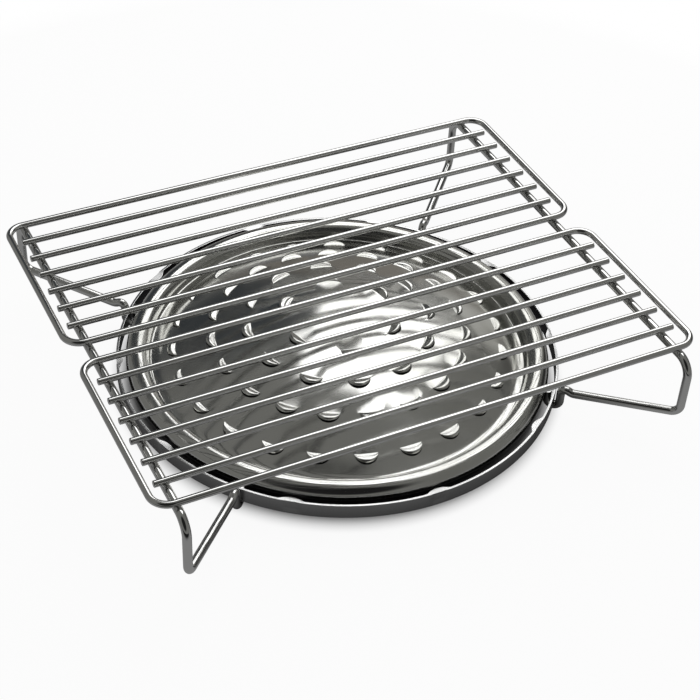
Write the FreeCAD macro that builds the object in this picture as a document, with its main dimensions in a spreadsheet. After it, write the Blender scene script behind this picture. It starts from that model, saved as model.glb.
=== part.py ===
"""Smoking rack: a welded wire stand that carries a flat hoop and a loose louvred dome plate.

All sizes are in millimetres and all angles in degrees. +X runs along the rods, -Y is the front and
+Z is up. The origin lies on the surface that the stand rests on, below the middle of the rack.
"""
import FreeCAD, Part

import math
import os
import re

from FreeCAD import Placement, Rotation, Vector
from Sketcher import Constraint

SIZES = {
    # wires
    "frame_wire": 4.0,
    "rod_wire": 3.8,
    "leg_wire": 5.0,
    # the two grids
    "frame_length": 327.0,
    "frame_corner_radius": 10.0,
    "rods_per_grid": 6,
    "bar_pitch": 16.7,
    "grid_spacing": 17.2,
    "rod_end_gap": 3.0,
    "rack_height": 64.5,
    # the two leg wires
    "rail_inset": 13.5,
    "rail_corner_radius": 10.0,
    "leg_overhang": 11.5,
    "elbow_height": 22.5,
    "elbow_radius": 6.0,
    "hook_azimuth": 40.0,
    "dip_distance": 10.5,
    "dip_height": 14.3,
    "dip_radius": 6.0,
    "crest_rise": 3.2,
    "crest_radius": 3.0,
    "tip_height": 12.45,
    # the hoop, and its play in the hooks
    "hoop_diameter": 263.4,
    "hoop_thickness": 1.5,
    "hoop_width": 9.0,
    "hoop_side_play": 0.7,
    "hoop_rest_gap": 0.25,
    "stakes": 10,
    "stake_azimuth": 17.2,
    "stake_length": 12.0,
    "stake_reach": 2.9,
    "stake_droop": 0.5,
    "stake_depth": 3.0,
    "facet_length": 10.0,
    "facet_height": 5.5,
    "facet_press": 0.45,
    # the louvred plate, and its play in the hoop and on the hook tips
    "plate_side_gap": 4.2,
    "plate_rest_gap": 0.3,
    "sheet": 0.8,
    "rim_width": 13.6,
    "rim_height": 7.2,
    "rim_radius": 6.7,
    "channel_depth": 8.55,
    "channel_radius": 1.4,
    "channel_width": 4.48,
    "foot_radius": 10.5,
    "dome_rise": 30.0,
    # the louvres, in rings from the dome's foot to its middle
    "louvre_width": 13.5,
    "louvre_height": 2.4,
    "flap_gap": 0.3,
    "outer_step": 12.4,
    "outer_louvres": 23,
    "outer_azimuth": -28.1,
    "middle_step": 22.9,
    "middle_louvres": 19,
    "middle_azimuth": 12.4,
    "inner_step": 20.8,
    "inner_louvres": 12,
    "inner_azimuth": 16.6,
    "core_step": 21.0,
    "core_louvres": 6,
    "core_azimuth": 17.7,
}
LOUVRE_RINGS = ("outer", "middle", "inner", "core")
SHEET_NAME = "sizes"
SHEET_WORDS = {alias: f"{SHEET_NAME}.{alias}" for alias in SIZES}
# how close two points lie to count as one, and how near a wire's volume is to its section by length
NEAR = 1e-6
VOLUME_TOLERANCE = 1e-3
# how far a flap's foot runs back into the sheet behind its fold, in thicknesses of the sheet
FLAP_FOOT_IN_SHEETS = 0.5
# how high the tool stands that cuts a louvre's hole, half of it above the dome, in the same unit
CUT_IN_SHEETS = 5

UP = Vector(0, 0, 1)
DOWN = Vector(0, 0, -1)


def make_sheet(doc):
    """Put every driving size in a spreadsheet cell whose alias is the size's name."""
    sheet = doc.addObject("Spreadsheet::Sheet", SHEET_NAME)
    for row, (alias, number) in enumerate(SIZES.items(), start=1):
        sheet.set(f"A{row}", alias)
        sheet.set(f"B{row}", str(number))
        sheet.setAlias(f"B{row}", alias)
    doc.recompute()
    return sheet


class Sizes:
    """The sheet's numbers as attributes, with the places that follow from them."""

    def __init__(self, sheet):
        for alias in SIZES:
            setattr(self, alias, float(sheet.get(alias)))
        self.rods_per_grid = round(self.rods_per_grid)
        # levels: frames and rods lie on top of the leg wires
        self.rail_top = self.rack_height - self.frame_wire
        self.rail_level = self.rail_top - self.leg_wire / 2
        # plan: the front frame mirrors the rear one
        self.frame_width = (self.rods_per_grid + 1) * self.bar_pitch
        self.outer_bar = self.grid_spacing / 2 + self.frame_width
        self.leg_x = self.frame_length / 2 - self.rail_inset
        self.leg_y = self.outer_bar + self.leg_overhang
        # the hoop stands in the round bottom of the hooks
        self.hoop_outer = self.hoop_diameter / 2
        self.hoop_inner = self.hoop_outer - self.hoop_thickness
        self.hoop_middle = self.hoop_outer - self.hoop_thickness / 2
        self.hook_radius = (self.hoop_thickness + self.leg_wire) / 2 + self.hoop_side_play
        trough = self.hook_radius - self.leg_wire / 2
        seat_drop = math.sqrt(trough**2 - (self.hoop_thickness / 2) ** 2)
        hook_centre = self.leg_wire / 2 + self.hook_radius
        self.hoop_bottom = hook_centre - seat_drop + self.hoop_rest_gap
        # the plate's cut edge stands on the flat ends of the hook tips, inside the hoop
        self.plate_bottom = self.tip_height + self.plate_rest_gap
        self.plate_outer = self.hoop_inner - self.plate_side_gap
        self.crest_level = self.plate_bottom + self.rim_height
        self.channel_outer = self.plate_outer - self.rim_width
        self.channel_level = self.crest_level - self.channel_depth
        # the dome is a ball's cap that stands on the channel's floor
        self.dome_foot = self.channel_outer - self.channel_width
        self.dome_apex = self.channel_level + self.dome_rise
        self.dome_radius = (self.dome_foot**2 + self.dome_rise**2) / (2 * self.dome_rise)


def expression(formula):
    """Return a formula of size names, written for a property of another object."""
    return re.sub(r"[a-z_]+", lambda word: SHEET_WORDS.get(word[0], word[0]), formula)


def bind(item, formulas):
    """Bind properties of a document object to formulas of size names."""
    for name, formula in formulas.items():
        item.setExpression(name, expression(formula))


# ---------------------------------------------------------------- paths


def rounded_path(points, radii):
    """Return the edges of a path of straight runs, with a tangent arc at each inner point."""
    edges = []
    start = points[0]
    for before, corner, after, radius in zip(points, points[1:], points[2:], radii):
        arriving = (corner - before).normalize()
        leaving = (after - corner).normalize()
        turn = arriving.getAngle(leaving)
        reach = radius * math.tan(turn / 2)
        arc_start = corner - arriving * reach
        arc_end = corner + leaving * reach
        inward = (leaving - arriving).normalize()
        centre = corner + inward * (radius / math.cos(turn / 2))
        arc_middle = centre - inward * radius
        if (arc_start - start).Length > NEAR:
            edges.append(Part.LineSegment(start, arc_start).toShape())
        edges.append(Part.Arc(arc_start, arc_middle, arc_end).toShape())
        start = arc_end
    edges.append(Part.LineSegment(start, points[-1]).toShape())
    return edges


def round_wire(edges, diameter):
    """Return a round wire along the edges, and check it against its section and length."""
    path = Part.Wire(edges)
    first = path.Edges[0]
    heading = first.tangentAt(first.FirstParameter)
    section = Part.Wire([Part.Circle(first.Vertexes[0].Point, heading, diameter / 2).toShape()])
    solid = path.makePipeShell([section], True, False)
    expected = math.pi / 4 * diameter**2 * path.Length
    if abs(solid.Volume / expected - 1) > VOLUME_TOLERANCE:
        raise RuntimeError(f"wire volume {solid.Volume:.1f}, expected {expected:.1f}")
    return solid


# ---------------------------------------------------------------- sketches


def origin_feature(body, role):
    """Return one of a body's own origin planes or axes."""
    return next(item for item in body.Origin.OriginFeatures if item.Role == role)


def new_body(doc, label):
    """Return an empty body whose label names its node."""
    body = doc.addObject("PartDesign::Body", label)
    body.Label = label
    return body


def new_sketch(body, name, plane, offset=None):
    """Return a sketch on one of the body's origin planes, moved in that plane's own frame."""
    sketch = body.newObject("Sketcher::SketchObject", f"{body.Label}_{name}")
    sketch.AttachmentSupport = [(origin_feature(body, plane), "")]
    sketch.MapMode = "FlatFace"
    if offset is not None:
        sketch.AttachmentOffset = offset
    return sketch


def arc_curve(centre, radius, first_angle, last_angle):
    """Return an arc in the sketch plane, run anticlockwise between two angles in degrees."""
    circle = Part.Circle(Vector(*centre, 0), UP, radius)
    return Part.ArcOfCircle(circle, math.radians(first_angle), math.radians(last_angle))


def add_polygon(sketch, corners):
    """Draw a closed outline through corners given as pairs of formulas, and bind each corner."""
    formulas = [(expression(across), expression(along)) for across, along in corners]
    points = [Vector(*(float(sketch.evalExpression(part)) for part in pair), 0) for pair in formulas]
    for start, end in zip(points, points[1:] + points[:1]):
        sketch.addGeometry(Part.LineSegment(start, end))
    for index, (point, (across, along)) in enumerate(zip(points, formulas)):
        sketch.addConstraint(Constraint("Coincident", index, 2, (index + 1) % len(points), 1))
        for kind, formula, value in (("DistanceX", across, point.x), ("DistanceY", along, point.y)):
            number = sketch.addConstraint(Constraint(kind, -1, 1, index, 1, value))
            sketch.setExpression(f"Constraints[{number}]", formula)


def turned_feature(body, kind, name, section, angle=360):
    """Turn a sketch about its own vertical axis, as material or as a cut."""
    feature = body.newObject(kind, f"{body.Label}_{name}")
    feature.Profile = section
    feature.ReferenceAxis = (section, ["V_Axis"])
    feature.Angle = angle
    return feature


def repeat_around(body, name, originals, count):
    """Repeat features evenly about the vertical axis; count is a formula."""
    pattern = body.newObject("PartDesign::PolarPattern", f"{body.Label}_{name}")
    pattern.Originals = originals
    pattern.Axis = (origin_feature(body, "Z_Axis"), [""])
    pattern.Angle = 360
    bind(pattern, {"Occurrences": count})
    body.Tip = pattern


# ---------------------------------------------------------------- grids


def make_frame(doc, size, label, side):
    """Build one closed loop of wire; side is 1 for the rear grid and -1 for the front one."""
    body = new_body(doc, label)
    half_length = (size.frame_length - size.frame_wire) / 2
    half_width = size.frame_width / 2
    radius = size.frame_corner_radius
    straight_x = half_length - radius
    straight_y = half_width - radius

    loop = new_sketch(body, "loop", "XY_Plane")
    runs = [
        Part.LineSegment(Vector(0, -half_width), Vector(straight_x, -half_width)),
        arc_curve((straight_x, -straight_y), radius, -90, 0),
        Part.LineSegment(Vector(half_length, -straight_y), Vector(half_length, straight_y)),
        arc_curve((straight_x, straight_y), radius, 0, 90),
        Part.LineSegment(Vector(straight_x, half_width), Vector(-straight_x, half_width)),
        arc_curve((-straight_x, straight_y), radius, 90, 180),
        Part.LineSegment(Vector(-half_length, straight_y), Vector(-half_length, -straight_y)),
        arc_curve((-straight_x, -straight_y), radius, 180, 270),
        Part.LineSegment(Vector(-straight_x, -half_width), Vector(0, -half_width)),
    ]
    for run in runs:
        loop.addGeometry(run)
    for index in range(len(runs)):
        loop.addConstraint(Constraint("Coincident", index, 2, (index + 1) % len(runs), 1))

    section = new_sketch(body, "section", "YZ_Plane")
    section.addGeometry(Part.Circle(Vector(-half_width, 0), UP, size.frame_wire / 2))
    diameter = section.addConstraint(Constraint("Diameter", 0, size.frame_wire))
    section.setExpression(f"Constraints[{diameter}]", expression("frame_wire"))

    wire = body.newObject("PartDesign::AdditivePipe", f"{label}_wire")
    wire.Profile = section
    wire.Spine = (loop, [f"Edge{number}" for number in range(1, len(runs) + 1)])
    reach = "(grid_spacing + (rods_per_grid + 1) * bar_pitch) / 2"
    bind(body, {"Placement.Base.y": f"{side} * {reach}", "Placement.Base.z": "rack_height - frame_wire / 2"})
    return body


def make_rod(doc, label, side, place):
    """Build one straight rod, the place-th bar outward from the middle of the rack."""
    rod = doc.addObject("Part::Cylinder", label)
    rod.Label = label
    rod.Placement = Placement(Vector(), Rotation(Vector(0, 1, 0), 90))
    bind(
        rod,
        {
            "Radius": "rod_wire / 2",
            "Height": "frame_length - 2 * frame_wire - 2 * rod_end_gap",
            "Placement.Base.x": "frame_wire + rod_end_gap - frame_length / 2",
            "Placement.Base.y": f"{side} * (grid_spacing / 2 + {place} * bar_pitch)",
            "Placement.Base.z": "rack_height - frame_wire + rod_wire / 2",
        },
    )
    return rod


# ---------------------------------------------------------------- leg wires


def half_leg(size):
    """Return the rear right half of a leg wire as points and bend radii, from the rail outward."""
    azimuth = math.radians(size.hook_azimuth)
    hook = Vector(math.cos(azimuth), math.sin(azimuth)) * size.hoop_middle
    leg = Vector(size.leg_x, size.leg_y)
    outward = (leg - hook).normalize()

    def arm_point(distance, height):
        return hook + outward * distance + UP * height

    crest = size.dip_height + size.crest_rise
    points = [
        leg + UP * size.rail_level,
        leg + UP * size.elbow_height,
        arm_point(size.dip_distance, size.dip_height),
        arm_point(size.hook_radius, crest),
        arm_point(size.hook_radius, size.leg_wire / 2),
        arm_point(-size.hook_radius, size.leg_wire / 2),
        arm_point(-size.hook_radius, size.tip_height),
    ]
    radii = [
        size.rail_corner_radius,
        size.elbow_radius,
        size.dip_radius,
        size.crest_radius,
        size.hook_radius,
        size.hook_radius,
    ]
    return points, radii


def make_leg_wire(doc, size, label, side):
    """Build one leg wire in one sweep from hook to hook; side is 1 for the right one."""
    points, radii = half_leg(size)
    rear = [Vector(side * point.x, point.y, point.z) for point in points]
    front = [Vector(point.x, -point.y, point.z) for point in rear]
    leg_wire = doc.addObject("Part::Feature", label)
    leg_wire.Label = label
    path = rounded_path(front[::-1] + rear, radii[::-1] + radii)
    leg_wire.Shape = round_wire(path, size.leg_wire)
    return leg_wire


# ---------------------------------------------------------------- hoop


def make_hoop(doc, size, label):
    """Build the flat hoop, staked at even steps: a lip pressed inward over a flat on the outside."""
    body = new_body(doc, label)

    strip_section = new_sketch(body, "strip_section", "XZ_Plane")
    inner = "hoop_diameter / 2 - hoop_thickness"
    outer = "hoop_diameter / 2"
    add_polygon(
        strip_section,
        [(inner, "0"), (outer, "0"), (outer, "hoop_width"), (inner, "hoop_width")],
    )
    turned_feature(body, "PartDesign::Revolution", "strip", strip_section)

    lip_section = new_sketch(body, "lip_section", "XZ_Plane")
    add_polygon(
        lip_section,
        [
            (inner, "hoop_width"),
            (f"{inner} - stake_reach", "hoop_width - stake_droop"),
            (inner, "hoop_width - stake_depth"),
            (f"{inner} + hoop_thickness / 2", "hoop_width - stake_depth / 2"),
        ],
    )
    lip = turned_feature(body, "PartDesign::Revolution", "lip", lip_section)

    facet_section = new_sketch(body, "facet_section", "XZ_Plane")
    above = "hoop_width + hoop_thickness"
    outside = f"{outer} + hoop_thickness"
    add_polygon(
        facet_section,
        [
            (outer, "hoop_width - facet_height"),
            (outside, "hoop_width - facet_height"),
            (outside, above),
            (f"{outer} - facet_press", above),
            (f"{outer} - facet_press", "hoop_width"),
        ],
    )
    facet = turned_feature(body, "PartDesign::Groove", "facet", facet_section)
    for feature, length in ((lip, "stake_length"), (facet, "facet_length")):
        feature.Midplane = True
        bind(feature, {"Angle": f"{length} / (hoop_diameter / 2) * 180 / pi * 1 deg"})

    repeat_around(body, "stake_ring", [lip, facet], "stakes")
    body.Placement = Placement(Vector(0, 0, size.hoop_bottom), Rotation(UP, size.stake_azimuth))
    return body


# ---------------------------------------------------------------- louvred plate


def plate_line(size):
    """Return the edges of the top line of the plate's section, from its cut edge to its apex."""
    # the rim is an upturned gutter with upright walls
    edge = Vector(size.plate_outer, 0, size.plate_bottom)
    outer_corner = Vector(size.plate_outer, 0, size.crest_level)
    inner_corner = Vector(size.channel_outer, 0, size.crest_level)
    channel = Vector(size.channel_outer, 0, size.channel_level)
    # the dome's arc, and the small arc that joins it to the channel's floor
    dome_centre = size.dome_apex - size.dome_radius
    blend_level = size.channel_level + size.foot_radius
    blend_span = size.dome_radius + size.foot_radius
    blend_across = math.sqrt(blend_span**2 - (blend_level - dome_centre) ** 2)
    blend = Vector(blend_across, 0, blend_level)
    to_dome = (Vector(0, 0, dome_centre) - blend).normalize()
    dome_start = blend + to_dome * size.foot_radius
    halfway = (to_dome + DOWN).normalize()
    blend_start = Vector(blend_across, 0, size.channel_level)
    corners = [edge, outer_corner, inner_corner, channel, blend_start]
    edges = rounded_path(corners, [size.rim_radius, size.rim_radius, size.channel_radius])
    edges.append(Part.Arc(blend_start, blend + halfway * size.foot_radius, dome_start).toShape())
    half_angle = math.asin(dome_start.x / size.dome_radius) / 2
    along_dome = Vector(math.sin(half_angle), 0, math.cos(half_angle)) * size.dome_radius
    dome_middle = Vector(0, 0, dome_centre) + along_dome
    edges.append(Part.Arc(dome_start, dome_middle, Vector(0, 0, size.dome_apex)).toShape())
    return edges


def draw_half_disc(sketch, radius, foot=0):
    """Draw a half disc with its round side outward, and a strip of the foot's depth behind its fold."""
    ends = [Vector(0, radius), Vector(0, -radius)]
    behind = [end - Vector(foot, 0) for end in ends] if foot else []
    corners = [ends[0], *behind, ends[1]]
    sketch.addGeometry(arc_curve((0, 0), radius, -90, 90))
    for start, end in zip(corners, corners[1:]):
        sketch.addGeometry(Part.LineSegment(start, end))


def add_louvres(body, size, ring, radius):
    """Cut one ring of half-moon holes in the dome, and fold up the flap of each, open outward."""
    azimuth = getattr(size, f"{ring}_azimuth")
    slope = math.asin(radius / size.dome_radius)
    height = size.dome_apex - size.dome_radius * (1 - math.cos(slope))
    half_width = size.louvre_width / 2
    flap_radius = half_width - size.flap_gap
    lift = math.asin(size.louvre_height / flap_radius)
    # the fold lies across the dome's slope, and both sketches are laid flat on it
    turned = Placement(Vector(), Rotation(Vector(0, 1, 0), azimuth))
    seat = Placement(Vector(radius, height, 0), Rotation(UP, -math.degrees(slope)))
    raised = Placement(Vector(), Rotation(UP, math.degrees(lift)))
    laid_flat = Placement(Vector(), Rotation(Vector(1, 0, 0), -90))

    hole_section = new_sketch(body, f"{ring}_hole_section", "XZ_Plane", turned * seat * laid_flat)
    draw_half_disc(hole_section, half_width)
    hole = body.newObject("PartDesign::Pocket", f"{body.Label}_{ring}_hole")
    hole.Profile = hole_section
    hole.Midplane = True
    hole.Length = CUT_IN_SHEETS * size.sheet

    flap_place = turned * seat * raised * laid_flat
    flap_section = new_sketch(body, f"{ring}_flap_section", "XZ_Plane", flap_place)
    draw_half_disc(flap_section, flap_radius, FLAP_FOOT_IN_SHEETS * size.sheet)
    flap = body.newObject("PartDesign::Pad", f"{body.Label}_{ring}_flap")
    flap.Profile = flap_section
    flap.Reversed = True
    flap.Length = size.sheet
    repeat_around(body, f"{ring}_louvre_ring", [hole, flap], f"{ring}_louvres")


def make_plate(doc, size, label):
    """Build the plate: one drawn sheet turned about the dome's axis, then its louvres."""
    top_line = doc.addObject("Part::Feature", f"{label}_top_line")
    top_line.Shape = Part.Wire(plate_line(size))
    section = doc.addObject("Part::Offset2D", f"{label}_section")
    section.Source = top_line
    section.Mode = "Skin"
    section.Fill = True
    bind(section, {"Value": "sheet"})
    blank = doc.addObject("Part::Revolution", f"{label}_blank")
    blank.Source = section
    blank.Axis = UP
    blank.Angle = 360
    doc.recompute()

    body = new_body(doc, label)
    body.BaseFeature = blank
    doc.recompute()
    radius = size.dome_foot
    for ring in LOUVRE_RINGS:
        radius -= getattr(size, f"{ring}_step")
        add_louvres(body, size, ring, radius)
    return body


# ---------------------------------------------------------------- the whole part


def make_parts(doc, size):
    """Build every sub-part, each under the label that names its node."""
    parts = []
    for name, side in (("rear", 1), ("front", -1)):
        parts.append(make_frame(doc, size, f"{name}_frame", side))
        for place in range(1, size.rods_per_grid + 1):
            parts.append(make_rod(doc, f"{name}_rod_{place}", side, place))
    for name, side in (("left", -1), ("right", 1)):
        parts.append(make_leg_wire(doc, size, f"{name}_leg_wire", side))
    parts.append(make_hoop(doc, size, "hoop"))
    parts.append(make_plate(doc, size, "louvre_plate"))
    return parts


def check(doc, parts):
    """Raise an error when an object failed or a sub-part has no valid single solid."""
    for item in doc.Objects:
        if {"Invalid", "Error"} & set(item.State):
            raise RuntimeError(f"{item.Label} is {item.State}")
    for part in parts:
        shape = part.Shape
        if shape.isNull() or not shape.isValid() or len(shape.Solids) != 1:
            raise RuntimeError(f"{part.Label} has no valid single solid")


def main():
    """Build, check and write each sub-part."""
    doc = FreeCAD.newDocument("smoking_rack")
    size = Sizes(make_sheet(doc))
    parts = make_parts(doc, size)
    doc.recompute()
    check(doc, parts)
    os.makedirs("parts", exist_ok=True)
    for part in parts:
        part.Shape.exportStep(f"parts/{part.Label}.step")
        box = part.Shape.BoundBox
        print(f"{part.Label}: {part.Shape.Volume:.1f} mm3, z {box.ZMin:.2f} to {box.ZMax:.2f}")


main()
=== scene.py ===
"""Looks of the stovetop smoking rack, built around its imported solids.

The rack is two welded grids of bright wire on two bent leg wires. A hoop of flat strip stands in
the legs' hooks, and a louvred plate lies inside it. All lengths are in metres.
"""

import logging
import math
from dataclasses import dataclass, field
from enum import Enum

import bmesh
import bpy
from bmesh.types import BMEdge, BMesh, BMVert
from bpy.types import Material, Mesh, Node, NodeSocket, NodeTree, Object
from mathutils import Matrix, Vector
from mathutils.geometry import delaunay_2d_cdt


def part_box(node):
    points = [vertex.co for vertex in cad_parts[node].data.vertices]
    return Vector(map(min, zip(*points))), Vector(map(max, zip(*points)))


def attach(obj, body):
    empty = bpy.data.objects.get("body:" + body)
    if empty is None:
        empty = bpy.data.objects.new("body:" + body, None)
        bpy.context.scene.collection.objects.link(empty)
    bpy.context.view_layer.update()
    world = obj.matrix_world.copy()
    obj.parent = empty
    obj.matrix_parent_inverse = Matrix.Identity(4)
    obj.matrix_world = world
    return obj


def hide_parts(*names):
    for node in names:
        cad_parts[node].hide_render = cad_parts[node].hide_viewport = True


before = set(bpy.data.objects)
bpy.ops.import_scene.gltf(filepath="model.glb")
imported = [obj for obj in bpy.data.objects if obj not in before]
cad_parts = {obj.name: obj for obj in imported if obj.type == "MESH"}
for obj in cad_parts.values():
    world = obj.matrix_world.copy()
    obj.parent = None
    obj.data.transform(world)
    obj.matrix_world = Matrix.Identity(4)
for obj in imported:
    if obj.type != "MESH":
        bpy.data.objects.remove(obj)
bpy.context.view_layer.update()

log = logging.getLogger("smoking_rack")

# red, green and blue, from 0 to 1
Colour = tuple[float, float, float]
# the two ends of a range
Span = tuple[float, float]

MM = 0.001
UP = Vector((0, 0, 1))
FULL_TURN = 2 * math.pi
# points closer than this are one point
MERGE_DISTANCE = 0.002 * MM
# what delaunay_2d_cdt calls filling the area inside its outline
INSIDE = 1
# two faces that meet at more than this keep a crisp edge between them
CRISP_ANGLE = math.radians(38)


# ---------------------------------------------------------------- finishes


class Grain(Enum):
    """Which way the fine lines of a finish run."""

    ALONG_X = (40.0, 2500.0, 2500.0)
    LEVEL = (60.0, 60.0, 5000.0)
    NONE = (900.0, 900.0, 900.0)


@dataclass(frozen=True)
class SteelFinish:
    """One finish of bright stainless steel: its colour, its gloss and its fine lines."""

    name: str
    colour: Colour
    stain: Colour
    gloss_range: Span
    grain: Grain
    grain_depth: float
    smudge_scale: float = 28.0
    smudge_span: Span = (0.3, 0.7)
    stain_scale: float = 12.6
    stain_span: Span = (0.42, 0.72)
    ripple_scale: float = 45.0
    ripple_depth: float = 0.0

    def material(self) -> Material:
        """Make the node material of this finish.

        Returns:
            Material: the new material, which reads Object coordinates only.
        """
        material = bpy.data.materials.new(self.name)
        material.use_nodes = True
        tree = material.node_tree
        shader = tree.nodes["Principled BSDF"]
        shader.inputs["Metallic"].default_value = 1.0
        place = tree.nodes.new("ShaderNodeTexCoord").outputs["Object"]

        smudge = noise(tree, place, self.smudge_scale, detail=4.0)
        roughness = map_range(tree, smudge, self.smudge_span, self.gloss_range)
        tree.links.new(roughness, shader.inputs["Roughness"])

        patch = noise(tree, place, self.stain_scale, detail=2.0)
        stained = map_range(tree, patch, self.stain_span)
        colour = blended(tree, stained, plain(tree, self.colour), self.stain)
        tree.links.new(colour, shader.inputs["Base Color"])

        stretch = tree.nodes.new("ShaderNodeMapping")
        stretch.inputs["Scale"].default_value = self.grain.value
        tree.links.new(place, stretch.inputs["Vector"])
        lines = noise(tree, stretch.outputs["Vector"], 1.0, detail=3.0)
        bump = raise_by(tree, lines, self.grain_depth)
        if self.ripple_depth:
            ripple = noise(tree, place, self.ripple_scale, detail=1.0)
            coarse = raise_by(tree, ripple, self.ripple_depth)
            tree.links.new(coarse.outputs["Normal"], bump.inputs["Normal"])
        tree.links.new(bump.outputs["Normal"], shader.inputs["Normal"])
        return material


def noise(tree: NodeTree, place: NodeSocket, scale: float, detail: float) -> NodeSocket:
    """Add a noise texture.

    Args:
        tree: the node tree to add to.
        place: the socket that gives the coordinates.
        scale: how many waves there are to a metre.
        detail: how many finer octaves are added.

    Returns:
        NodeSocket: the noise, from 0 to 1.
    """
    node = tree.nodes.new("ShaderNodeTexNoise")
    node.inputs["Scale"].default_value = scale
    node.inputs["Detail"].default_value = detail
    tree.links.new(place, node.inputs["Vector"])
    return node.outputs["Fac"]


def map_range(
    tree: NodeTree, value: NodeSocket, given: Span, wanted: Span = (0.0, 1.0)
) -> NodeSocket:
    """Map a value smoothly from one range to another.

    Args:
        tree: the node tree to add to.
        value: the socket to map.
        given: the range that the value comes in.
        wanted: the range that it gets, from 0 to 1 if none is given.

    Returns:
        NodeSocket: the mapped value.
    """
    node = tree.nodes.new("ShaderNodeMapRange")
    node.interpolation_type = "SMOOTHSTEP"
    names = ("From Min", "From Max", "To Min", "To Max")
    for name, number in zip(names, (*given, *wanted)):
        node.inputs[name].default_value = number
    tree.links.new(value, node.inputs["Value"])
    return node.outputs["Result"]


def raise_by(tree: NodeTree, height: NodeSocket, depth: float) -> Node:
    """Add a bump node.

    Args:
        tree: the node tree to add to.
        height: the socket that gives the height, from 0 to 1.
        depth: the height of the whole range, in metres.

    Returns:
        Node: the bump node.
    """
    node = tree.nodes.new("ShaderNodeBump")
    node.inputs["Distance"].default_value = depth
    tree.links.new(height, node.inputs["Height"])
    return node


def plain(tree: NodeTree, colour: Colour) -> NodeSocket:
    """Add a socket that gives one colour everywhere.

    Args:
        tree: the node tree to add to.
        colour: the colour.

    Returns:
        NodeSocket: the socket.
    """
    socket = tree.nodes.new("ShaderNodeRGB").outputs["Color"]
    socket.default_value = (*colour, 1.0)
    return socket


DRAWN_WIRE = SteelFinish(
    "drawn_wire",
    colour=(0.70, 0.70, 0.69),
    stain=(0.62, 0.62, 0.61),
    gloss_range=(0.07, 0.13),
    grain=Grain.NONE,
    grain_depth=0.004 * MM,
)
ROD_WIRE = SteelFinish(
    "drawn_rod",
    colour=(0.70, 0.70, 0.69),
    stain=(0.62, 0.62, 0.61),
    gloss_range=(0.07, 0.13),
    grain=Grain.ALONG_X,
    grain_depth=0.004 * MM,
)
ROLLED_STRIP = SteelFinish(
    "rolled_strip",
    colour=(0.68, 0.68, 0.68),
    stain=(0.58, 0.58, 0.58),
    gloss_range=(0.14, 0.26),
    grain=Grain.LEVEL,
    grain_depth=0.006 * MM,
)
DRAWN_SHEET = SteelFinish(
    "drawn_sheet",
    colour=(0.66, 0.66, 0.64),
    stain=(0.56, 0.56, 0.53),
    gloss_range=(0.09, 0.19),
    grain=Grain.NONE,
    grain_depth=0.002 * MM,
    ripple_depth=0.006 * MM,
)


# ---------------------------------------------------------------- making meshes


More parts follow.
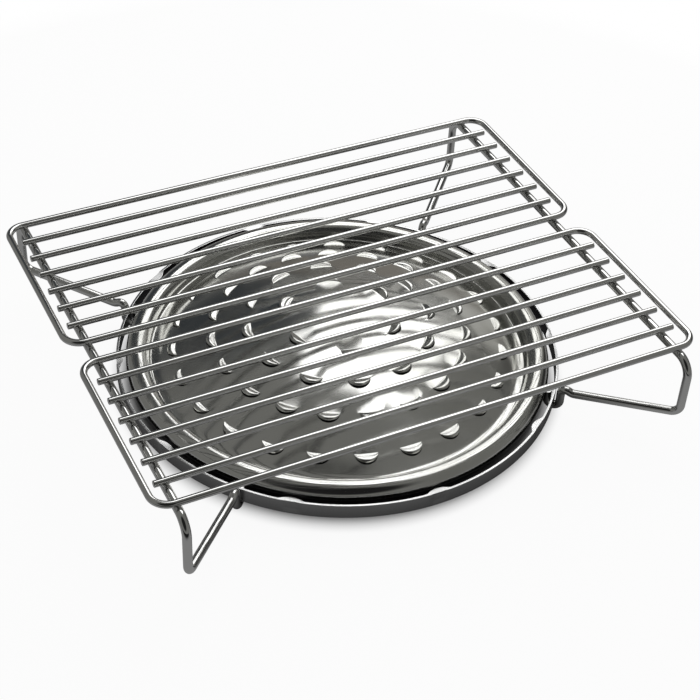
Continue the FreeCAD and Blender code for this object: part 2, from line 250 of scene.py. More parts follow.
class DrawnPath:
    """A point or a ring that is drawn through space, by straight runs and bends.

    A point leaves a line behind it and a ring leaves a tube. The front is what moves on.
    """

    BEND_STEP = math.radians(5)
    SHORT_RUN = 0.6 * MM

    def __init__(
        self, mesh: BMesh, place: Vector, heading: Vector, bend_step: float = BEND_STEP
    ) -> None:
        """Start a path.

        Args:
            mesh: the mesh to draw in.
            place: where the path starts.
            heading: the way that it leaves.
            bend_step: the most that it turns in one step of a bend.
        """
        self.mesh = mesh
        self.bend_step = bend_step
        self.place = place.copy()
        self.heading = heading.normalized()
        self.front: list[BMVert | BMEdge] = []

    def start_point(self) -> None:
        """Start with a single point, which draws a line."""
        self.front = [self.mesh.verts.new(self.place)]

    def start_ring(self, radius: float, sides: int) -> None:
        """Start with a ring across the heading, which draws a tube.

        Args:
            radius: the tube's radius.
            sides: how many points go round it.
        """
        facing = self.heading.to_track_quat("Z", "Y").to_matrix().to_4x4()
        across = Matrix.Translation(self.place) @ facing
        made = bmesh.ops.create_circle(self.mesh, segments=sides, radius=radius, matrix=across)
        edges = {edge for vert in made["verts"] for edge in vert.link_edges}
        self.front = [*made["verts"], *edges]

    def run(self, length: float) -> None:
        """Go straight on; a short step at each end keeps the shading of a bend out of the run.

        Args:
            length: how far to go.
        """
        short = min(self.SHORT_RUN, length / 4)
        for step in (short, length - 2 * short, short):
            self._sweep(UP, 0.0, self.heading * step, 1)
            self.place += self.heading * step

    def bend(self, towards: Vector, radius: float) -> None:
        """Turn to a new heading along an arc.

        Args:
            towards: the new heading.
            radius: the arc's radius at the middle of the path.
        """
        turn = self.heading.angle(towards)
        axis = self.heading.cross(towards).normalized()
        centre = self.place + axis.cross(self.heading) * radius
        self._sweep(axis, turn, Vector(), max(2, math.ceil(turn / self.bend_step)), centre)
        turned = Matrix.Rotation(turn, 3, axis)
        self.place = centre + turned @ (self.place - centre)
        self.heading = (turned @ self.heading).normalized()

    def follow(self, corners: list[tuple[Vector, float]]) -> None:
        """Go through corners, and round each one off; the last is where the path ends.

        Args:
            corners: each corner's place and bend radius.
        """
        for (corner, radius), (after, _) in zip(corners, corners[1:]):
            leaving = (after - corner).normalized()
            reach = radius * math.tan(self.heading.angle(leaving) / 2)
            self.run((corner - self.place).length - reach)
            self.bend(leaving, radius)
        self.run((corners[-1][0] - self.place).length)

    def close_end(self, edges: list[BMEdge], chamfer: float) -> None:
        """Close a cut end of the wire with a flat face, and break its edge.

        Args:
            edges: the ring of edges at the end.
            chamfer: how much of the edge is taken off.
        """
        bmesh.ops.edgeloop_fill(self.mesh, edges=edges)
        bmesh.ops.bevel(
            self.mesh,
            geom=edges,
            offset=chamfer,
            offset_type="OFFSET",
            segments=2,
            profile=0.5,
            affect="EDGES",
            material=-1,
        )

    def _sweep(
        self, axis: Vector, turn: float, shift: Vector, steps: int, centre: Vector | None = None
    ) -> None:
        """Move the front on with a spin, whose last step is the new front.

        Args:
            axis: the axis that it turns about.
            turn: the whole turn.
            shift: the whole way that it moves straight on.
            steps: how many steps make the move.
            centre: a point on the axis, or the front's own place if none is given.
        """
        swept = bmesh.ops.spin(
            self.mesh,
            geom=self.front,
            cent=centre if centre else self.place,
            axis=axis,
            dvec=shift / steps,
            angle=turn,
            steps=steps,
            use_merge=False,
        )
        self.front = swept["geom_last"]


def ring_edges(front: list[BMVert | BMEdge]) -> list[BMEdge]:
    """Return the edges of a path's front."""
    return [item for item in front if isinstance(item, BMEdge)]


def turn_round(mesh: BMesh, steps: int) -> None:
    """Turn everything in a mesh a full round about the upright axis.

    Args:
        mesh: the mesh that holds the section.
        steps: how many steps make the round.
    """
    bmesh.ops.spin(
        mesh,
        geom=[*mesh.verts, *mesh.edges],
        cent=Vector(),
        axis=UP,
        dvec=Vector(),
        angle=FULL_TURN,
        steps=steps,
        use_merge=True,
    )
    bmesh.ops.remove_doubles(mesh, verts=mesh.verts, dist=MERGE_DISTANCE)


def thickened(skin: BMesh, thickness: float) -> BMesh:
    """Give a skin its thickness, on the side away from its normals.

    Args:
        skin: the open skin, which is freed.
        thickness: the sheet's thickness.

    Returns:
        BMesh: the closed sheet.
    """
    data = bpy.data.meshes.new("skin")
    skin.to_mesh(data)
    skin.free()
    holder = bpy.data.objects.new("skin", data)
    bpy.context.scene.collection.objects.link(holder)
    wall = holder.modifiers.new("wall", "SOLIDIFY")
    wall.thickness = thickness
    wall.offset = -1.0
    wall.use_even_offset = True
    wall.use_quality_normals = True
    wall.thickness_clamp = 1.0
    solid = bmesh.new()
    solid.from_object(holder, bpy.context.evaluated_depsgraph_get())
    bpy.data.objects.remove(holder)
    bpy.data.meshes.remove(data)
    return solid


def finish_piece(
    mesh: BMesh, name: str, material: Material, body: str, nodes: list[str]
) -> Object:
    """Make an object of a mesh, hang it on the body that it rides on, and hide the solids that it
    stands for.

    Args:
        mesh: the finished mesh, which is freed.
        name: the piece's name.
        material: its finish.
        body: the body that it rides on.
        nodes: the solids that it stands for.

    Returns:
        Object: the new piece.
    """
    data = bpy.data.meshes.new(name)
    for face in mesh.faces:
        face.smooth = True
    mesh.to_mesh(data)
    mesh.free()
    data.set_sharp_from_angle(angle=CRISP_ANGLE)
    data.materials.append(material)
    piece = bpy.data.objects.new(name, data)
    bpy.context.scene.collection.objects.link(piece)
    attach(piece, body)
    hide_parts(*nodes)
    log.info("%s: %d faces, rides on %s", name, len(data.polygons), body)
    return piece


# ---------------------------------------------------------------- the stand


@dataclass
class Grid:
    """One of the two grids: a closed loop of wire with six straight rods inside."""

    side: str
    rods: int = 6
    frame_wire: float = 4.0 * MM
    corner_radius: float = 10.0 * MM
    wire_sides: int = 32
    end_chamfer: float = 0.25 * MM

    def build(self, wire: Material, rod: Material) -> None:
        """Build the loop and its rods.

        Args:
            wire: the finish of the loop.
            rod: the finish of the rods.
        """
        self._build_loop(wire)
        for place in range(1, self.rods + 1):
            self._build_rod(place, rod)

    def _build_loop(self, wire: Material) -> None:
        """Draw the loop from the middle of one long side all the way round.

        Args:
            wire: the finish of the loop.
        """
        node = f"{self.side}_frame"
        low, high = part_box(node)
        inset = Vector((1, 1, 0)) * (self.frame_wire / 2)
        near, far = low + inset, high - inset
        level = (low.z + high.z) / 2
        start = Vector(((near.x + far.x) / 2, near.y, level))
        mesh = bmesh.new()
        path = DrawnPath(mesh, start, Vector((1, 0, 0)))
        path.start_ring(self.frame_wire / 2, self.wire_sides)
        outline = [(far.x, near.y), (far.x, far.y), (near.x, far.y), (near.x, near.y)]
        corners = [(Vector((x, y, level)), self.corner_radius) for x, y in outline]
        path.follow([*corners, (start, 0.0)])
        bmesh.ops.remove_doubles(mesh, verts=mesh.verts, dist=MERGE_DISTANCE)
        bmesh.ops.recalc_face_normals(mesh, faces=mesh.faces)
        finish_piece(mesh, f"{self.side}_frame_wire", wire, "stand", [node])

    def _build_rod(self, place: int, rod: Material) -> None:
        """Draw one rod, and close its two cut ends.

        Args:
            place: which rod it is, counted from 1.
            rod: the finish of the rod.
        """
        node = f"{self.side}_rod_{place}"
        low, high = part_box(node)
        middle = (low + high) / 2
        start = Vector((low.x, middle.y, middle.z))
        mesh = bmesh.new()
        path = DrawnPath(mesh, start, Vector((1, 0, 0)))
        path.start_ring((high.y - low.y) / 2, self.wire_sides)
        first = ring_edges(path.front)
        path.run(high.x - low.x)
        path.close_end(first, self.end_chamfer)
        path.close_end(ring_edges(path.front), self.end_chamfer)
        bmesh.ops.recalc_face_normals(mesh, faces=mesh.faces)
        finish_piece(mesh, f"{node}_wire", rod, "stand", [node])


@dataclass
class LegWire:
    """One leg wire, bent from hook to hook, with the spot welds that carry the grids."""

    side: str
    wire: float = 5.0 * MM
    rail_corner_radius: float = 10.0 * MM
    elbow_height: float = 22.5 * MM
    elbow_radius: float = 6.0 * MM
    hook_azimuth: float = math.radians(40.0)
    dip_distance: float = 10.5 * MM
    dip_height: float = 14.3 * MM
    dip_radius: float = 6.0 * MM
    crest_rise: float = 3.2 * MM
    crest_radius: float = 3.0 * MM
    tip_height: float = 12.45 * MM
    hoop_thickness: float = 1.5 * MM
    hook_play: float = 0.7 * MM
    wire_sides: int = 32
    end_chamfer: float = 0.3 * MM
    weld: Vector = field(default_factory=lambda: Vector((1.7, 1.5, 0.45)) * MM)

    def corners(self) -> list[tuple[Vector, float]]:
        """Work out the course of the wire's rear half, from the rail to the tip.

        Returns:
            list: each corner's place and bend radius; the last is the tip.
        """
        low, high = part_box(f"{self.side}_leg_wire")
        outer = high if self.side == "right" else low
        sign = 1 if self.side == "right" else -1
        leg = Vector((outer.x - sign * self.wire / 2, high.y - self.wire / 2, 0))
        hoop_low, hoop_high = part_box("hoop")
        hoop_middle = (hoop_high.x - hoop_low.x - self.hoop_thickness) / 2
        toward = Vector((sign * math.cos(self.hook_azimuth), math.sin(self.hook_azimuth), 0))
        hook = toward * hoop_middle
        outward = (leg - hook).normalized()
        hook_radius = (self.hoop_thickness + self.wire) / 2 + self.hook_play

        def arm(distance: float, height: float) -> Vector:
            """Return a point over the line from the hook to the leg."""
            return hook + outward * distance + UP * height

        crest = self.dip_height + self.crest_rise
        bottom = self.wire / 2
        return [
            (leg + UP * (high.z - self.wire / 2), self.rail_corner_radius),
            (leg + UP * self.elbow_height, self.elbow_radius),
            (arm(self.dip_distance, self.dip_height), self.dip_radius),
            (arm(hook_radius, crest), self.crest_radius),
            (arm(hook_radius, bottom), hook_radius),
            (arm(-hook_radius, bottom), hook_radius),
            (arm(-hook_radius, self.tip_height), 0.0),
        ]

    def build(self, wire: Material) -> None:
        """Draw the rear half, mirror it, and set the welds.

        Args:
            wire: the finish of the wire.
        """
        node = f"{self.side}_leg_wire"
        corners = self.corners()
        start = corners[0][0].copy()
        start.y = 0.0
        mesh = bmesh.new()
        path = DrawnPath(mesh, start, Vector((0, 1, 0)))
        path.start_ring(self.wire / 2, self.wire_sides)
        path.follow(corners)
        path.close_end(ring_edges(path.front), self.end_chamfer)
        everything = [*mesh.verts, *mesh.edges, *mesh.faces]
        bmesh.ops.mirror(mesh, geom=everything, axis="Y", merge_dist=-1)
        bmesh.ops.remove_doubles(mesh, verts=mesh.verts, dist=MERGE_DISTANCE)
        bmesh.ops.recalc_face_normals(mesh, faces=mesh.faces)
        self._set_welds(mesh, start)
        finish_piece(mesh, f"{node}_bent", wire, "stand", [node])

    def _set_welds(self, mesh: BMesh, rail: Vector) -> None:
        """Put a small flat bead of weld metal under each bar that crosses the rail.

        Args:
            mesh: the mesh of the leg wire.
            rail: the middle of the rail.
        """
        level = rail.z + self.wire / 2
        bars: list[float] = []
        for side in ("rear", "front"):
            low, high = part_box(f"{side}_frame")
            inset = Grid.frame_wire / 2
            bars += [low.y + inset, high.y - inset]
            for place in range(1, Grid.rods + 1):
                low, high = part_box(f"{side}_rod_{place}")
                bars.append((low.y + high.y) / 2)
        for across in bars:
            at = Matrix.Translation((rail.x, across, level)) @ Matrix.Diagonal((*self.weld, 1.0))
            bmesh.ops.create_icosphere(mesh, subdivisions=2, radius=1.0, matrix=at)


# ---------------------------------------------------------------- the hoop


@dataclass
class Hoop:
    """The hoop of flat strip, staked at even steps to keep the plate in."""

    thickness: float = 1.5 * MM
    edge_radius: float = 0.22 * MM
    stakes: int = 10
    stake_azimuth: float = math.radians(17.2)
    lip_half_length: float = 7.0 * MM
    lip_reach: float = 2.8 * MM
    lip_depth: float = 3.0 * MM
    lip_droop: float = 0.5 * MM
    lip_curve: float = 0.8
    lip_cuts: tuple[float, ...] = (1.0, 0.8, 0.6, 0.4, 0.2)
    facet_half_length: float = 5.0 * MM
    facet_height: float = 5.5 * MM
    facet_press: float = 0.45 * MM
    facet_edge: float = 0.25 * MM
    steps: int = 720
    edge_bend_step: float = math.radians(30)

    def build(self, strip: Material) -> None:
        """Turn the strip's section, then press the stakes.

        Args:
            strip: the finish of the strip.
        """
        low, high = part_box("hoop")
        outer = (high.x - low.x) / 2
        inner = outer - self.thickness
        middle = (outer + inner) / 2
        mesh = bmesh.new()
        start = Vector((middle, 0, low.z))
        path = DrawnPath(mesh, start, Vector((1, 0, 0)), self.edge_bend_step)
        path.start_point()
        section = [(outer, low.z), (outer, high.z), (inner, high.z), (inner, low.z)]
        corners = [(Vector((across, 0, level)), self.edge_radius) for across, level in section]
        path.follow([*corners, (start, 0.0)])
        bmesh.ops.remove_doubles(mesh, verts=mesh.verts, dist=MERGE_DISTANCE)
        turn_round(mesh, self.steps)
        facet_foot = high.z - self.facet_height
        cuts = [facet_foot, facet_foot + self.facet_edge]
        cuts += [high.z - self.lip_depth * share for share in self.lip_cuts]
        for level in cuts:
            bmesh.ops.bisect_plane(
                mesh,
                geom=[*mesh.verts, *mesh.edges, *mesh.faces],
                dist=MERGE_DISTANCE,
                plane_co=(0, 0, level),
                plane_no=UP,
            )
        self._press_stakes(mesh, outer, middle, high.z)
        bmesh.ops.recalc_face_normals(mesh, faces=mesh.faces)
        finish_piece(mesh, "hoop_strip", strip, "hoop", ["hoop"])

    def _press_stakes(self, mesh: BMesh, outer: float, middle: float, top: float) -> None:
        """Push the inner top edge in as a lens, and press a flat on the outside under it.

        Args:
            mesh: the mesh of the hoop.
            outer: the hoop's outer radius.
            middle: the radius at the middle of the strip.
            top: the level of the top edge.
        """
        step = FULL_TURN / self.stakes
        for vert in mesh.verts:
            azimuth = math.atan2(vert.co.y, vert.co.x) - self.stake_azimuth
            offset = (azimuth + step / 2) % step - step / 2
            along = abs(offset) * outer
            across = Vector((vert.co.x, vert.co.y, 0))
            radius = across.length
            depth = top - vert.co.z
            moved = radius
            drop = 0.0
            if radius < middle and along < self.lip_half_length and depth < self.lip_depth:
                lens = 1 - (along / self.lip_half_length) ** 2
                rise = 1 - depth / self.lip_depth
                moved -= self.lip_reach * lens * rise**self.lip_curve
                drop = self.lip_droop * lens * rise
            elif radius > middle and along < self.facet_half_length and depth < self.facet_height:
                flat = (outer - self.facet_press) / math.cos(offset)
                moved = min(radius, flat)
            scale = moved / radius
            vert.co.x *= scale
            vert.co.y *= scale
            vert.co.z -= drop


# ---------------------------------------------------------------- the louvred plate


@dataclass
class LouvreRing:
    """One ring of louvres: its radius in plan, how many there are and where the first one is."""

    radius: float
    count: int
    azimuth: float


@dataclass
class LouvredPlate:
    """The drawn plate: a rim like an upturned gutter, a drip channel, and a louvred dome."""

    outer: float = 126.0 * MM
    sheet: float = 0.8 * MM
    rim_width: float = 13.6 * MM
    rim_height: float = 7.2 * MM
    rim_radius: float = 6.7 * MM
    channel_depth: float = 8.55 * MM
    channel_radius: float = 1.4 * MM
    channel_width: float = 4.48 * MM
    foot_radius: float = 10.5 * MM
    dome_rise: float = 30.0 * MM
    louvre_radius: float = 6.75 * MM
    flap_reach: float = 6.05 * MM
    flap_height: float = 2.4 * MM
    flap_mouth: float = 1.3 * MM
    flap_crest: float = 0.8
    flap_columns: int = 20
    flap_rows: int = 14
    steps: int = 240
    sheet_step: float = 4.0 * MM
    on_ball: float = 0.02 * MM
    rings: list[LouvreRing] = field(
        default_factory=lambda: [
            LouvreRing(95.5 * MM, 23, math.radians(-28.1)),
            LouvreRing(72.6 * MM, 19, math.radians(12.4)),
            LouvreRing(51.8 * MM, 12, math.radians(16.6)),
            LouvreRing(30.8 * MM, 6, math.radians(17.7)),
        ]
    )

    def __post_init__(self) -> None:
        """Work out the levels and the dome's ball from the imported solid's lowest point."""
        low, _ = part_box("louvre_plate")
        self.channel_level = low.z + self.sheet
        self.crest_level = self.channel_level + self.channel_depth
        self.channel_outer = self.outer - self.rim_width
        foot = self.channel_outer - self.channel_width
        self.ball = (foot**2 + self.dome_rise**2) / (2 * self.dome_rise)
        self.centre = UP * (self.channel_level + self.dome_rise - self.ball)
        # the arc from the channel's floor to the dome, and where the two meet
        blend_level = self.channel_level + self.foot_radius
        blend_span = self.ball + self.foot_radius
        self.blend_across = math.sqrt(blend_span**2 - (blend_level - self.centre.z) ** 2)
        self.dome_slope = math.asin(self.blend_across / blend_span)
        self.dome_edge = self.ball * math.sin(self.dome_slope)

    def build(self, sheet: Material) -> None:
        """Build the skin, then give it its thickness.

        Args:
            sheet: the finish of the sheet.
        """
        mesh = bmesh.new()
        self._turn_rim(mesh)
        louvre = self._louvre()
        louvres = [
            self._set_louvre(mesh, louvre, ring, place)
            for ring in self.rings
            for place in range(ring.count)
        ]
        bpy.data.meshes.remove(louvre)
        self._fill_dome(mesh, louvres)
        bmesh.ops.recalc_face_normals(mesh, faces=mesh.faces)
        if sum(face.normal.z * face.calc_area() for face in mesh.faces) < 0:
            bmesh.ops.reverse_faces(mesh, faces=mesh.faces)
        solid = thickened(mesh, self.sheet)
        finish_piece(solid, "louvre_plate_sheet", sheet, "plate", ["louvre_plate"])

    def _turn_rim(self, mesh: BMesh) -> None:
        """Draw the section from the cut edge to the dome's foot, and turn it round.

        Args:
            mesh: the mesh of the plate.
        """
        edge = Vector((self.outer, 0, self.crest_level - self.rim_height))
        path = DrawnPath(mesh, edge, UP)
        path.start_point()
        section = [
            (self.outer, self.crest_level, self.rim_radius),
            (self.channel_outer, self.crest_level, self.rim_radius),
            (self.channel_outer, self.channel_level, self.channel_radius),
            (self.blend_across, self.channel_level, 0.0),
        ]
        path.follow([(Vector((across, 0, level)), radius) for across, level, radius in section])
        uphill = Vector((-math.cos(self.dome_slope), 0, math.sin(self.dome_slope)))
        path.bend(uphill, self.foot_radius)
        turn_round(mesh, self.steps)

    def _louvre(self) -> Mesh:
        """Form one louvre on a flat: a flap raised from its fold, and the round edge of its hole.

        Returns:
            Mesh: the louvre, with its fold along X and its round side toward +Y.
        """
        form = bmesh.new()
        columns, rows = self.flap_columns, self.flap_rows
        bmesh.ops.create_grid(form, x_segments=columns, y_segments=rows, size=1.0)
        # the square grid, from -1 to 1 both ways, is drawn together to a half disc and raised
        for vert in form.verts:
            turn = vert.co.x * math.pi / 2
            share = math.sin((vert.co.y + 1) * math.pi / 4)
            width = math.cos(turn)
            vert.co.x = self.louvre_radius * math.sin(turn)
            vert.co.y = self.flap_reach * share * width
            vert.co.z = self._flap_rise(share) * width
        rim = bmesh.ops.create_circle(
            form, cap_ends=False, segments=2 * columns, radius=self.louvre_radius
        )
        behind = [vert for vert in rim["verts"] if vert.co.y < -MERGE_DISTANCE]
        bmesh.ops.delete(form, geom=behind, context="VERTS")
        bmesh.ops.remove_doubles(form, verts=form.verts, dist=MERGE_DISTANCE)
        mesh = bpy.data.meshes.new("louvre_form")
        form.to_mesh(mesh)
        form.free()
        return mesh

    def _flap_rise(self, share: float) -> float:
        """Work out the flap's height, which goes up to its crest and then down.

        Args:
            share: how far out on the flap, as a share of its reach.

        Returns:
            float: the height over the sheet.
        """
        if share < self.flap_crest:
            return self.flap_height * (1 - math.cos(math.pi * share / self.flap_crest)) / 2
        beyond = (share - self.flap_crest) / (1 - self.flap_crest)
        fall = 1 - math.sqrt(max(0.0, 1 - beyond**2))
        return self.flap_height - (self.flap_height - self.flap_mouth) * fall

    def _set_louvre(
        self, mesh: BMesh, louvre: Mesh, ring: LouvreRing, place: int
    ) -> tuple[Vector, list[BMVert]]:
        """Set a copy of the louvre on the dome, bent to the dome's ball.

        Args:
            mesh: the mesh of the plate.
            louvre: the louvre, formed on a flat.
            ring: the ring that it belongs to.
            place: which one it is in its ring.

        Returns:
            tuple: the middle of the fold on the ball, and the louvre's points.
        """
        before = len(mesh.verts)
        mesh.from_mesh(louvre)
        mesh.verts.ensure_lookup_table()
        azimuth = ring.azimuth + FULL_TURN * place / ring.count
        slope = math.asin(ring.radius / self.ball)
        seat = Matrix.Rotation(azimuth - math.pi / 2, 3, "Z") @ Matrix.Rotation(-slope, 3, "X")
        added = mesh.verts[before:]
        for vert in added:
            flat = seat @ Vector((vert.co.x, vert.co.y, self.ball))
            vert.co = self.centre + flat.normalized() * (self.ball + vert.co.z)
        return self.centre + seat @ Vector((0, 0, self.ball)), added

    def _fill_dome(self, mesh: BMesh, louvres: list[tuple[Vector, list[BMVert]]]) -> None:
        """Fill the dome's sheet from the louvres' holes to the rim, with points strewn over it.

        Args:
            mesh: the mesh of the plate.
            louvres: each louvre's middle and its points.
        """
        open_edges = [edge for edge in mesh.edges if edge.is_boundary or edge.is_wire]
        edges = [edge for edge in open_edges if self._on_dome(edge)]
        corners = list({vert: None for edge in edges for vert in edge.verts})
        places = {vert: place for place, vert in enumerate(corners)}
        owners = {vert: number for number, (_, verts) in enumerate(louvres) for vert in verts}
        hole_edge = {vert for vert in corners if not vert.link_faces}
        clear = self.louvre_radius + 2 * self.sheet
        strewn = [
            point
            for point in self._strewn_points()
            if all((point - middle).length > clear for middle, _ in louvres)
        ]
        flat = [vert.co.xy for vert in corners] + [point.xy for point in strewn]
        bounds = [tuple(places[vert] for vert in edge.verts) for edge in edges]
        near = MERGE_DISTANCE / 10
        _, _, faces, sources, _, _ = delaunay_2d_cdt(flat, bounds, [], INSIDE, near)
        verts = corners + [mesh.verts.new(point) for point in strewn]
        for face in faces:
            points = [verts[sources[point][0]] for point in face]
            owned = {owners.get(vert) for vert in points}
            in_hole = len(owned) == 1 and None not in owned and not hole_edge.isdisjoint(points)
            if not in_hole:
                mesh.faces.new(points)
        log.info("dome sheet: %d edges round it, %d faces", len(edges), len(faces))

    def _strewn_points(self) -> list[Vector]:
        """Spread points evenly over the dome's ball, each row shifted by half a step.

        Returns:
            list: the points.
        """
        row_step = self.sheet_step * math.sqrt(3) / 2
        count = math.ceil(self.dome_edge / row_step)
        points: list[Vector] = []
        for row in range(-count, count + 1):
            for column in range(-count, count + 1):
                across = (column + 0.5 * (row % 2)) * self.sheet_step
                along = row * row_step
                if math.hypot(across, along) < self.dome_edge - self.sheet_step / 2:
                    rise = math.sqrt(self.ball**2 - across**2 - along**2)
                    points.append(self.centre + Vector((across, along, rise)))
        return points

    def _on_dome(self, edge: BMEdge) -> bool:
        """Return whether both ends of an edge lie on the dome's ball."""
        return all(
            abs((vert.co - self.centre).length - self.ball) < self.on_ball
            and vert.co.z > self.channel_level
            for vert in edge.verts
        )


# ---------------------------------------------------------------- the stage


@dataclass(frozen=True)
class Patch:
    """A round patch of painted reflection, bright or dark, on the glowing tent, soft at its edge.
    Angles are in degrees.
    """

    azimuth: float
    elevation: float
    inner: float
    outer: float
    shade: Colour


@dataclass(frozen=True)
class Tent:
    """A grey tent round the stage that glows, though it is no lamp, and only shows as a
    reflection in the metal: its glow is painted reflection.

    Its ground sheet has a painted shadow under the rack, and a painted dark patch lies on it
    before the camera.
    """

    radius: float = 1.6
    segments: int = 48
    ground_segments: int = 64
    ground_level: float = -0.5 * MM
    # painted reflection: the tent's glow where no patch lies, and its patches: a warm glow low at
    # the right rear, a bright window, a dark corner behind, dark behind the camera and dark low to
    # the right
    shade: Colour = (0.19, 0.19, 0.18)
    patches: tuple[Patch, ...] = (
        Patch(50, -5, 20, 45, (0.23, 0.215, 0.195)),
        Patch(38, 20, 6, 18, (0.55, 0.55, 0.53)),
        Patch(90, 27, 8, 30, (0.045, 0.05, 0.055)),
        Patch(-118, 42, 24, 38, (0.015, 0.015, 0.015)),
        Patch(5, 4, 10, 26, (0.03, 0.03, 0.03)),
    )
    # painted reflection of a floor: the ground sheet glows lighter near the rack and greyer far off
    ground_near: float = 0.27
    ground_far: float = 0.15
    ground_reach: Span = (0.24, 0.55)
    ground_shadow: Span = (0.115, 0.19)
    # painted dark reflection: a dark patch on the glowing ground sheet before the camera
    dark_place: Vector = field(default_factory=lambda: Vector((-0.40, -0.75, 0.0)))
    dark_reach: Span = (0.50, 0.62)
    dark_shade: Colour = (0.012, 0.012, 0.012)

    def build(self) -> None:
        """Put up the tent and its ground sheet."""
        mesh = bmesh.new()
        across, up = self.segments, self.segments // 2
        bmesh.ops.create_uvsphere(mesh, u_segments=across, v_segments=up, radius=self.radius)
        self._hang(mesh, "tent", self._painted_glow())
        mesh = bmesh.new()
        sides = self.ground_segments
        bmesh.ops.create_circle(mesh, cap_ends=True, segments=sides, radius=self.radius)
        bmesh.ops.translate(mesh, vec=UP * self.ground_level, verts=mesh.verts)
        self._hang(mesh, "tent_ground", self._ground())

    def _hang(self, mesh: BMesh, name: str, material: Material) -> None:
        """Make a stage object that only glossy rays meet.

        Args:
            mesh: its mesh, which is freed.
            name: its name.
            material: its shade.
        """
        glowing_shell = stage_object(mesh, name, material)
        for ray in ("camera", "diffuse", "transmission", "volume_scatter", "shadow"):
            setattr(glowing_shell, f"visible_{ray}", False)

    def _painted_glow(self) -> Material:
        """Paint the tent's glow, a painted reflection, with one soft patch over another.

        Returns:
            Material: the tent's material.
        """
        material, tree, glow = glowing("tent")
        place = tree.nodes.new("ShaderNodeTexCoord").outputs["Object"]
        unit = tree.nodes.new("ShaderNodeVectorMath")
        unit.operation = "NORMALIZE"
        tree.links.new(place, unit.inputs[0])
        shade = plain(tree, self.shade)
        for patch in self.patches:
            toward = direction(patch.azimuth, patch.elevation)
            facing = measured(tree, "DOT_PRODUCT", unit.outputs["Vector"], toward)
            edge = (math.cos(math.radians(patch.outer)), math.cos(math.radians(patch.inner)))
            shade = blended(tree, map_range(tree, facing, edge), shade, patch.shade)
        tree.links.new(shade, glow.inputs["Color"])
        return material

    def _ground(self) -> Material:
        """Paint the ground sheet's glow, a painted reflection of a floor: a painted shadow under
        the rack, light round it, grey far off, and a painted dark patch before the camera.

        Returns:
            Material: the ground sheet's material.
        """
        material, tree, glow = glowing("tent_ground")
        place = tree.nodes.new("ShaderNodeTexCoord").outputs["Object"]
        reach = measured(tree, "LENGTH", place)
        fall = map_range(tree, reach, self.ground_reach, (self.ground_near, self.ground_far))
        # painted shadow: the ground sheet's glow goes dark under the rack
        lit = map_range(tree, reach, self.ground_shadow)
        shaded = combined(tree, "MULTIPLY", fall, lit)
        # painted dark reflection: a dark patch before the camera
        away = measured(tree, "DISTANCE", place, self.dark_place)
        dark = map_range(tree, away, self.dark_reach, (1.0, 0.0))
        tree.links.new(blended(tree, dark, shaded, self.dark_shade), glow.inputs["Color"])
        return material


def stage_object(mesh: BMesh, name: str, material: Material) -> Object:
    """Make a mesh an object of the stage.

    Args:
        mesh: its mesh, which is freed.
        name: its name.
        material: its material.

    Returns:
        Object: the new object.
    """
    data = bpy.data.meshes.new(name)
    mesh.to_mesh(data)
    mesh.free()
    data.materials.append(material)
    item = bpy.data.objects.new(name, data)
    bpy.context.scene.collection.objects.link(item)
    return item


def glowing(name: str) -> tuple[Material, NodeTree, Node]:
    """Make a material that gives off a plain shade.

    Args:
        name: the material's name.

    Returns:
        tuple: the material, its node tree and its emission node.
    """
    material = bpy.data.materials.new(name)
    material.use_nodes = True
    tree = material.node_tree
    tree.nodes.remove(tree.nodes["Principled BSDF"])
    glow = tree.nodes.new("ShaderNodeEmission")
    tree.links.new(glow.outputs["Emission"], tree.nodes["Material Output"].inputs["Surface"])
    return material, tree, glow


def measured(
    tree: NodeTree, measure: str, vector: NodeSocket, other: Vector | None = None
) -> NodeSocket:
    """Add a measure of a vector: its length, its distance from another or their dot product.

    Args:
        tree: the node tree to add to.
        measure: the vector node's operation.
        vector: the socket that gives the vector.
        other: the other vector, where the operation needs one.

    Returns:
        NodeSocket: the measure.
    """
    node = tree.nodes.new("ShaderNodeVectorMath")
    node.operation = measure
    tree.links.new(vector, node.inputs[0])
    if other is not None:
        node.inputs[1].default_value = other
    return node.outputs["Value"]


def combined(tree: NodeTree, operation: str, first: NodeSocket, second: NodeSocket) -> NodeSocket:
    """Combine two values, and keep the result from 0 to 1.

    Args:
        tree: the node tree to add to.
        operation: the math node's operation.
        first: the first value.
        second: the second value.

    Returns:
        NodeSocket: the result.
    """
    node = tree.nodes.new("ShaderNodeMath")
    node.operation = operation
    node.use_clamp = True
    tree.links.new(first, node.inputs[0])
    tree.links.new(second, node.inputs[1])
    return node.outputs["Value"]


def blended(tree: NodeTree, share: NodeSocket, under: NodeSocket, over: Colour) -> NodeSocket:
    """Lay one colour over another.

    Args:
        tree: the node tree to add to.
        share: how much of the upper colour shows.
        under: the lower colour.
        over: the upper colour.

    Returns:
        NodeSocket: the colour of both.
    """
    mix = tree.nodes.new("ShaderNodeMix")
    mix.data_type = "RGBA"
    colours = [socket for socket in mix.inputs if socket.type == "RGBA"]
    tree.links.new(share, mix.inputs["Factor"])
    tree.links.new(under, colours[0])
    colours[1].default_value = (*over, 1.0)
    return next(socket for socket in mix.outputs if socket.type == "RGBA")


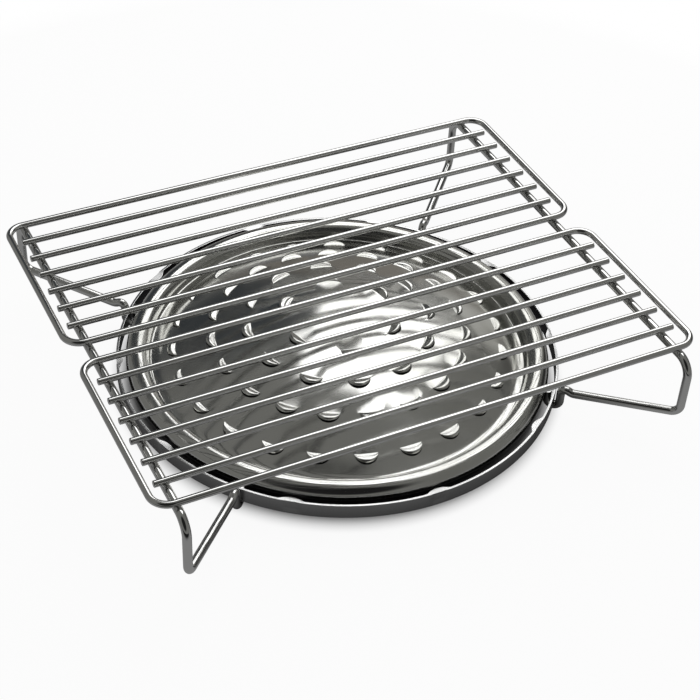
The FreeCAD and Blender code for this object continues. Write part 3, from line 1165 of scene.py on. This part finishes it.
@dataclass(frozen=True)
class SoftBox:
    """An area lamp that faces the object. Angles are in degrees."""

    name: str
    azimuth: float
    elevation: float
    width: float
    height: float
    brightness: float
    distance: float = 1.3

    def build(self) -> None:
        """Hang the lamp, with the power that gives its face the wanted brightness."""
        lamp = bpy.data.lights.new(self.name, "AREA")
        lamp.shape = "RECTANGLE"
        lamp.size = self.width
        lamp.size_y = self.height
        lamp.energy = self.brightness * math.pi * self.width * self.height
        holder = bpy.data.objects.new(self.name, lamp)
        bpy.context.scene.collection.objects.link(holder)
        toward = direction(self.azimuth, self.elevation)
        holder.location = toward * self.distance
        holder.rotation_euler = toward.to_track_quat("Z", "Y").to_euler()


def direction(azimuth: float, elevation: float) -> Vector:
    """Return the unit vector toward a place round the stage.

    Args:
        azimuth: degrees from +X toward +Y.
        elevation: degrees over the floor.

    Returns:
        Vector: the direction from the middle of the stage.
    """
    round_angle, rise = math.radians(azimuth), math.radians(elevation)
    level = math.cos(rise)
    return Vector((level * math.cos(round_angle), level * math.sin(round_angle), math.sin(rise)))


@dataclass(frozen=True)
class Stage:
    """The pale floor, the white background, the soft box and the tent.

    The floor's colour is dark under the rack, a painted shadow, and pale round it and white to
    the eye farther off. Its spans are distances from the middle.
    """

    floor_size: float = 6.0
    floor_level: float = -1.0 * MM
    floor_roughness: float = 0.9
    floor_colour: Colour = (0.82, 0.82, 0.82)
    floor_white: Span = (0.0, 0.93)
    floor_white_from: Span = (0.122, 0.138)
    floor_far: Span = (0.22, 0.50)
    # painted shadow: the floor's own colour goes dark under the rack, where shade falls
    floor_painted_shadow: Colour = (0.02, 0.02, 0.02)
    floor_painted_shadow_reach: Span = (0.116, 0.134)
    world_level: float = 0.55
    soft_box: SoftBox = SoftBox("rear_right_lamp", 46, 53, 0.86, 1.12, 2.0)

    def build(self) -> None:
        """Set the floor, the world, the soft box and the tent."""
        self._floor()
        self._world()
        self.soft_box.build()
        Tent().build()

    def _floor(self) -> None:
        """Lay the floor just under the rack's feet, and let the white grow with distance."""
        mesh = bmesh.new()
        bmesh.ops.create_grid(mesh, x_segments=1, y_segments=1, size=self.floor_size / 2)
        bmesh.ops.translate(mesh, vec=UP * self.floor_level, verts=mesh.verts)
        material = bpy.data.materials.new("floor")
        material.use_nodes = True
        tree = material.node_tree
        reach = measured(tree, "LENGTH", tree.nodes.new("ShaderNodeTexCoord").outputs["Object"])

        shader = tree.nodes["Principled BSDF"]
        shader.inputs["Roughness"].default_value = self.floor_roughness
        # painted shadow: the floor's colour is blended to dark under the rack
        under = map_range(tree, reach, self.floor_painted_shadow_reach, (1.0, 0.0))
        colour = blended(tree, under, plain(tree, self.floor_colour), self.floor_painted_shadow)
        tree.links.new(colour, shader.inputs["Base Color"])

        white = map_range(tree, reach, self.floor_white_from, self.floor_white)
        whitest = combined(tree, "MAXIMUM", white, map_range(tree, reach, self.floor_far))
        share = combined(tree, "MULTIPLY", seen_directly(tree), whitest)
        glow = tree.nodes.new("ShaderNodeEmission")
        mix = tree.nodes.new("ShaderNodeMixShader")
        tree.links.new(share, mix.inputs["Fac"])
        tree.links.new(shader.outputs["BSDF"], mix.inputs[1])
        tree.links.new(glow.outputs["Emission"], mix.inputs[2])
        tree.links.new(mix.outputs["Shader"], tree.nodes["Material Output"].inputs["Surface"])
        stage_object(mesh, "floor", material)

    def _world(self) -> None:
        """Make the background white for the eye and the metal, and a plain soft light otherwise."""
        world = bpy.data.worlds.new("studio")
        bpy.context.scene.world = world
        world.use_nodes = True
        tree = world.node_tree
        light = tree.nodes["Background"]
        light.inputs["Color"].default_value = (1.0, 1.0, 1.0, 1.0)
        light.inputs["Strength"].default_value = self.world_level
        white = tree.nodes.new("ShaderNodeBackground")
        white.inputs["Color"].default_value = (1.0, 1.0, 1.0, 1.0)
        mix = tree.nodes.new("ShaderNodeMixShader")
        tree.links.new(seen_directly(tree), mix.inputs["Fac"])
        tree.links.new(light.outputs["Background"], mix.inputs[1])
        tree.links.new(white.outputs["Background"], mix.inputs[2])
        tree.links.new(mix.outputs["Shader"], tree.nodes["World Output"].inputs["Surface"])


def seen_directly(tree: NodeTree) -> NodeSocket:
    """Add a value that is 1 for rays from the camera, off metal and through glass.

    Args:
        tree: the node tree to add to.

    Returns:
        NodeSocket: the value, from 0 to 1.
    """
    rays = tree.nodes.new("ShaderNodeLightPath")
    total = rays.outputs["Is Camera Ray"]
    for name in ("Is Glossy Ray", "Is Transmission Ray"):
        total = combined(tree, "ADD", total, rays.outputs[name])
    return total


@dataclass(frozen=True)
class Viewpoint:
    """The camera: where it stands, what it aims at, its lens and its roll."""

    place: Vector = field(default_factory=lambda: Vector((-337.3, -652.2, 639.5)) * MM)
    aim: Vector = field(default_factory=lambda: Vector((-9.1, -32.5, 40.75)) * MM)
    lens: float = 82.9
    sensor: float = 36.0
    nearest: float = 0.01
    roll: float = math.radians(3.003)

    def build(self) -> None:
        """Make the scene's camera."""
        data = bpy.data.cameras.new("camera")
        data.lens = self.lens
        data.sensor_width = self.sensor
        data.clip_start = self.nearest
        camera = bpy.data.objects.new("camera", data)
        bpy.context.scene.collection.objects.link(camera)
        bpy.context.scene.camera = camera
        back = (self.place - self.aim).normalized()
        right = UP.cross(back).normalized()
        above = back.cross(right)
        level, tilt = math.cos(self.roll), math.sin(self.roll)
        turned_right = right * level + above * tilt
        turned_above = above * level - right * tilt
        axes = Matrix((turned_right, turned_above, back)).transposed().to_4x4()
        camera.matrix_world = Matrix.Translation(self.place) @ axes


# ---------------------------------------------------------------- the whole scene


def main() -> None:
    """Build the stage and the rack's assemblies in order."""
    logging.basicConfig(level=logging.INFO, format="%(message)s")
    bpy.context.scene.view_settings.view_transform = "Standard"
    Viewpoint().build()
    Stage().build()
    wire = DRAWN_WIRE.material()
    rod = ROD_WIRE.material()
    for side in ("rear", "front"):
        Grid(side).build(wire, rod)
    for side in ("left", "right"):
        LegWire(side).build(wire)
    Hoop().build(ROLLED_STRIP.material())
    LouvredPlate().build(DRAWN_SHEET.material())


if __name__ == "__main__":
    main()
